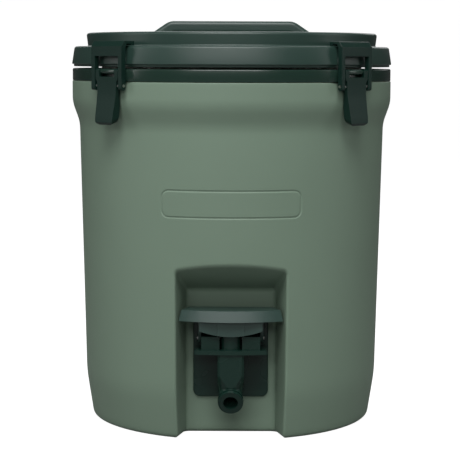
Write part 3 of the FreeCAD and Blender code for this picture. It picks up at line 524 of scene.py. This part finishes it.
def makeTurningTree():
    tree, ids, given = startTree("turnedMoulding", (
        ("Half Profile", "Geometry"), ("Turning Radius", "Float"), ("Facets", "Int"), ("Finish", "Material")))
    path = tree.nodes.new("GeometryNodeCurvePrimitiveCircle")
    section = tree.nodes.new("GeometryNodeMeshToCurve")
    sweep = tree.nodes.new("GeometryNodeCurveToMesh")
    weld = tree.nodes.new("GeometryNodeMergeByDistance")
    weld.inputs["Distance"].default_value = weldReach
    for source, target in ((given.outputs["Facets"], path.inputs["Resolution"]),
                           (given.outputs["Turning Radius"], path.inputs["Radius"]),
                           (given.outputs["Half Profile"], section.inputs[0]),
                           (path.outputs[0], sweep.inputs["Curve"]),
                           (section.outputs[0], sweep.inputs["Profile Curve"]),
                           (sweep.outputs[0], weld.inputs["Geometry"])):
        tree.links.new(source, target)
    endTree(tree, weld.outputs[0], given.outputs["Finish"])
    return tree, ids


turningTree, turningIds = makeTurningTree()


def roundedLine(corners, pieces=5, closed=False):
    # corners are (radius, height, rounding); each rounding becomes a short arc that takes
    # at most edgeShare of the edges beside it
    edgeShare = 0.48
    line, count = [], len(corners)
    for i, (x, z, size) in enumerate(corners):
        here = Vector((x, z))
        if size <= 0 or (not closed and i in (0, count - 1)):
            line.append(here)
            continue
        before = Vector(corners[i - 1][:2]) - here
        after = Vector(corners[(i + 1) % count][:2]) - here
        turn = before.angle(after)
        reach = min(size / math.tan(turn / 2), before.length * edgeShare, after.length * edgeShare)
        radius = reach * math.tan(turn / 2)
        inward = (before.normalized() + after.normalized()).normalized()
        middle = here + inward * radius / math.sin(turn / 2)
        start = here + before.normalized() * reach - middle
        stop = here + after.normalized() * reach - middle
        sweep = start.angle_signed(stop)
        for k in range(pieces + 1):
            angle = -sweep * k / pieces
            line.append(middle + Vector((start.x * math.cos(angle) - start.y * math.sin(angle),
                                         start.x * math.sin(angle) + start.y * math.cos(angle))))
    return line


def turned(name, corners, facets, material, closed=False, radius=100.0):
    line = roundedLine(corners, closed=closed)
    mesh = bpy.data.meshes.new(name)
    links = [(i, i + 1) for i in range(len(line) - 1)] + ([(len(line) - 1, 0)] if closed else [])
    mesh.from_pydata([((p.x - radius) * mm, -p.y * mm, 0) for p in line], links, [])
    item = makeObject(name, mesh)
    spin = item.modifiers.new("turning", "NODES")
    spin.node_group = turningTree
    spin[turningIds["Turning Radius"]] = radius * mm
    spin[turningIds["Facets"]] = facets
    spin[turningIds["Finish"]] = material
    settled(item)
    tidyMesh(item.data)
    return item


lid = {
    "profile": [(0, 322, 0), (112, 322, 3.0), (124.5, 346.1, 1.2), (126, 348.1, 1.4), (131.8, 348.1, 2.4),
                (130.3, 336.1, 1.2), (142.4, 336.1, 2.6), (144.9, 320.2, 1.1), (143.2, 320.2, 0.4),
                (143.2, 318.2, 0.5), (140, 318.2, 0.4), (139.4, 333.1, 0.8), (127.9, 333.1, 0.8),
                (128.6, 342.1, 0.8), (125.5, 342.1, 0.8), (114, 319, 1.5), (0, 319, 0)],
    "facets": 288, "crease": 50,
}
lidTop = turned("lidTop", lid["profile"], lid["facets"], plastics["lidGreen"])
dress(shade(lidTop, lid["crease"]), plastics["lidGreen"], "lid", "lid_green", "lid_top")

collar = {
    "profile": [(126.3, 313, 0.2), (141.3, 313, 0.4), (141.3, 305.8, 0.2), (144.3, 305.8, 0.5),
                (144.3, 316.5, 1.2), (126.3, 316.5, 0.6)],
    "facets": 288, "crease": 45,
    "pad": [(-25.6, 139), (25.6, 139), (25.6, 142), (19, 144.7), (-19, 144.7), (-25.6, 142)],
    "padHeights": (305.8, 316.1), "padEdge": 0.5,
    "knuckle": {"centre": (147.5, 314.3), "radius": 2.3, "half": 9.2, "root": 143, "edge": 0.35,
                "edgeAngle": 50},
}


def makeCollar():
    parts = [turned("collarBand", collar["profile"], collar["facets"], plastics["collarGreen"], closed=True)]
    knob = collar["knuckle"]
    (out, up), radius = knob["centre"], knob["radius"]
    turns = [math.radians(a) for a in range(0, 181, 12)]
    nose = [(out + radius * math.sin(a), up - radius * math.cos(a)) for a in turns]
    nose = [(knob["root"], up - radius)] + nose + [(knob["root"], up + radius)]
    for name, degrees in latchTurns.items():
        spin = Matrix.Rotation(math.radians(degrees), 3, "Z")
        pad = prism("pad" + name, collar["pad"], *collar["padHeights"],
                    lambda a, b, c: spin @ Vector((a, -b, c)))
        addBevel(pad, collar["padEdge"])
        knuckle = prism("knuckle" + name, nose, -knob["half"], knob["half"],
                        lambda a, b, c: spin @ Vector((c, -a, b)))
        addBevel(knuckle, knob["edge"], angle=knob["edgeAngle"])
        parts += [settled(pad), settled(knuckle)]
    return shade(joined("collarRing", parts), collar["crease"])


dress(makeCollar(), plastics["collarGreen"], "jug", "collar", "collar_ring")
print("lid and collar turned")


# latches, handle and spigot: moulded forms with rounded edges

softened = {   # node it stands for, body, slot, finish, edge rounding
    "carryHandle": ("carry_handle", "lid", "lid_green", "lidGreen", 0.7),
    "spigotPlate": ("spigot_escutcheon", "jug", "spigot_green", "spigotGreen", 0.7),
    "spigotBody": ("spigot_body", "jug", "spigot_green", "spigotGreen", 0.5),
    # the paddle's finish is the spigot green painted lighter, a painted highlight
    "spigotPaddle": ("spigot_paddle", "paddle", "spigot_green", "paddleGreen", 0.6),
}
for side in latchTurns:
    for piece, stem in (("latchLever.", "lever_"), ("latchLink.", "link_")):
        softened[piece + side] = ("latch_" + stem + side, stem + side, "latch_green", "latchGreen", 0.55)

for name, (node, body, slot, finish, width) in softened.items():
    dress(softCopy(name, node, width), plastics[finish], body, slot, node)
print("latches, handle and spigot softened")


# screws under the handle: one screw set out on a grid of four points

screws = {"spacing": (196, 41), "height": 325.4, "headRadius": 3.2, "headTall": 2.2, "headSides": 40,
          "headEdge": 0.35, "shankRadius": 1.58, "shankLong": 6.2, "shankSides": 24,
          "slotWide": 0.9, "slotDeep": 0.9}


def arcPoints(radius, start, stop, gaps):
    turns = [start + (stop - start) * i / gaps for i in range(gaps + 1)]
    return [(radius * math.cos(a), radius * math.sin(a)) for a in turns]


def discPoints(radius, sides):
    return arcPoints(radius, 0, math.tau, sides)[:-1]


def upright(name, outline, low, high):
    return prism(name, outline, low, high, lambda a, b, c: (a, b, c))


def makeScrew():
    # pan head on a shank; the slot is the channel left between two half heads
    radius, tall, sides = screws["headRadius"], screws["headTall"], screws["headSides"]
    floor = tall - screws["slotDeep"]
    parts = [upright("screwLow", discPoints(radius, sides), 0, floor)]
    start = math.asin(screws["slotWide"] / 2 / radius)
    half = arcPoints(radius, start, math.pi - start, sides // 2)
    for way in (1, -1):
        cheek = upright("screwCheek", [(x, way * y) for x, y in half], floor, tall)
        addBevel(cheek, screws["headEdge"], 3)
        parts.append(settled(cheek))
    shank = discPoints(screws["shankRadius"], screws["shankSides"])
    parts.append(upright("screwShank", shank, -screws["shankLong"], 0))
    return shade(joined("screwPattern", parts))


def makeScrewTree():
    tree, ids, given = startTree("screwSet", (
        ("Spacing X", "Float"), ("Spacing Y", "Float"), ("Height", "Float"), ("Screw", "Object"),
        ("Finish", "Material")))
    grid = tree.nodes.new("GeometryNodeMeshGrid")
    grid.inputs["Vertices X"].default_value = 2
    grid.inputs["Vertices Y"].default_value = 2
    lift = tree.nodes.new("ShaderNodeCombineXYZ")
    move = tree.nodes.new("GeometryNodeTransform")
    spread = tree.nodes.new("GeometryNodeInstanceOnPoints")
    pick = tree.nodes.new("GeometryNodeObjectInfo")
    for source, target in ((given.outputs["Spacing X"], grid.inputs["Size X"]),
                           (given.outputs["Spacing Y"], grid.inputs["Size Y"]),
                           (given.outputs["Height"], lift.inputs["Z"]),
                           (grid.outputs["Mesh"], move.inputs["Geometry"]),
                           (lift.outputs[0], move.inputs["Translation"]),
                           (move.outputs[0], spread.inputs["Points"]),
                           (given.outputs["Screw"], pick.inputs["Object"]),
                           (pick.outputs["Geometry"], spread.inputs["Instance"])):
        tree.links.new(source, target)
    endTree(tree, spread.outputs[0], given.outputs["Finish"])
    return tree, ids


def makeScrews():
    pattern = makeScrew()
    tree, ids = makeScrewTree()
    item = makeObject("handleScrews", bpy.data.meshes.new("handleScrews"))
    spread = item.modifiers.new("screws", "NODES")
    spread.node_group = tree
    spread[ids["Spacing X"]] = screws["spacing"][0] * mm
    spread[ids["Spacing Y"]] = screws["spacing"][1] * mm
    spread[ids["Height"]] = screws["height"] * mm
    spread[ids["Screw"]] = pattern
    spread[ids["Finish"]] = steel
    settled(item)
    bpy.data.objects.remove(pattern)
    return shade(item)


dress(makeScrews(), steel, "lid", "steel", "handle_screws")
print("screws set")


# inner pieces keep their packed form and take a finish

innerFinish = {
    "steel": steel, "liner": plastics["linerWhite"], "foam": plastics["insulatingFoam"],
    "seal": plastics["siliconeSeal"], "sage_shell": plastics["sageShell"],
    "collar": plastics["collarGreen"], "lid_green": plastics["lidGreen"],
    "latch_green": plastics["latchGreen"], "spigot_green": plastics["spigotGreen"],
}
for item in cadNodes.values():
    for spot in item.material_slots:
        spot.material = innerFinish[spot.material.name.split(".")[0]]
print("inner pieces finished")


# floor, light and camera

studio = {
    "floorColour": (0.24, 0.24, 0.24, 1), "floorGlow": 0.95, "floorRoughness": 0.8,
    "sweepFront": -4.0, "sweepBack": 3.2, "sweepRound": 1.2, "sweepTall": 3.0, "sweepHalf": 4.5,
    "roomLight": 0.05,
    "lights": [   # name, power, size across, size up, position, aim
        ("frontBox", 10.5, 2.2, 0.5, (-0.15, -1.95, 0.98), (0, 0, 0.2)),
        ("topBox", 30, 1.3, 0.9, (-0.1, -1.05, 1.7), (0, 0, 0.2)),
        ("fillLeft", 6.0, 0.5, 1.4, (-1.7, -0.35, 0.9), (0, 0, 0.2)),
        ("fillRight", 5.0, 0.5, 1.4, (1.8, -0.25, 0.9), (0, 0, 0.2)),
        ("topBack", 7, 1.4, 0.8, (0.1, 1.0, 1.5), (0, 0, 0.3)),
        ("backBox", 11, 2.4, 0.7, (0.2, 1.95, 1.15), (0, 0, 0.2)),
    ],
}


def makeSweep():
    back, bend, half = studio["sweepBack"], studio["sweepRound"], studio["sweepHalf"]
    turns = [math.radians(a) for a in range(6, 91, 6)]
    line = [(studio["sweepFront"], 0.0), (back - bend, 0.0)]
    line += [(back - bend + bend * math.sin(a), bend - bend * math.cos(a)) for a in turns]
    line.append((back, studio["sweepTall"]))
    points = [(x, y, z) for y, z in line for x in (-half, half)]
    faces = [(2 * i, 2 * i + 1, 2 * i + 3, 2 * i + 2) for i in range(len(line) - 1)]
    floor = makeObject("paleSweep", meshFrom("paleSweep", points, faces))
    material, tree, shader = startMaterial("palePaper")
    shader.inputs["Base Color"].default_value = studio["floorColour"]
    shader.inputs["Roughness"].default_value = studio["floorRoughness"]
    shader.inputs["Emission Color"].default_value = (1, 1, 1, 1)
    seen = addNode(tree, "ShaderNodeLightPath")
    glow = mathNode(tree, "MULTIPLY", seen.outputs["Is Camera Ray"], studio["floorGlow"])
    tree.links.new(glow, shader.inputs["Emission Strength"])
    floor.data.materials.append(material)
    return shade(floor)


def makeLights():
    for name, power, wide, tall, position, aim in studio["lights"]:
        lamp = bpy.data.lights.new(name, "AREA")
        lamp.shape = "RECTANGLE"
        lamp.energy, lamp.size, lamp.size_y = power, wide, tall
        item = bpy.data.objects.new(name, lamp)
        item.location = position
        item.rotation_euler = (Vector(aim) - Vector(position)).to_track_quat("-Z", "Y").to_euler()
        bpy.context.scene.collection.objects.link(item)
    world = bpy.data.worlds.new("softRoom")
    world.use_nodes = True
    room = world.node_tree.nodes["Background"]
    room.inputs["Color"].default_value = (1, 1, 1, 1)
    seen = addNode(world.node_tree, "ShaderNodeLightPath")
    shown = addNode(world.node_tree, "ShaderNodeMapRange")
    shown.inputs["To Min"].default_value, shown.inputs["To Max"].default_value = studio["roomLight"], 1.0
    world.node_tree.links.new(seen.outputs["Is Camera Ray"], shown.inputs["Value"])
    world.node_tree.links.new(shown.outputs["Result"], room.inputs["Strength"])
    bpy.context.scene.world = world


view = {"lens": 128.6, "sensor": 36, "position": (-0.00098, -1.506, 0.3266), "pitch": 6.0, "roll": 0.2}


def makeCamera():
    camera = bpy.data.cameras.new("viewer")
    camera.lens, camera.sensor_width = view["lens"], view["sensor"]
    item = bpy.data.objects.new("viewer", camera)
    item.matrix_world = (Matrix.Translation(view["position"])
                         @ Matrix.Rotation(math.radians(90 - view["pitch"]), 4, "X")
                         @ Matrix.Rotation(math.radians(view["roll"]), 4, "Z"))
    bpy.context.scene.collection.objects.link(item)
    bpy.context.scene.camera = item


makeSweep()
makeLights()
makeCamera()
bpy.context.scene.view_settings.view_transform = "Standard"
print("studio ready")

bpy.context.view_layer.update()
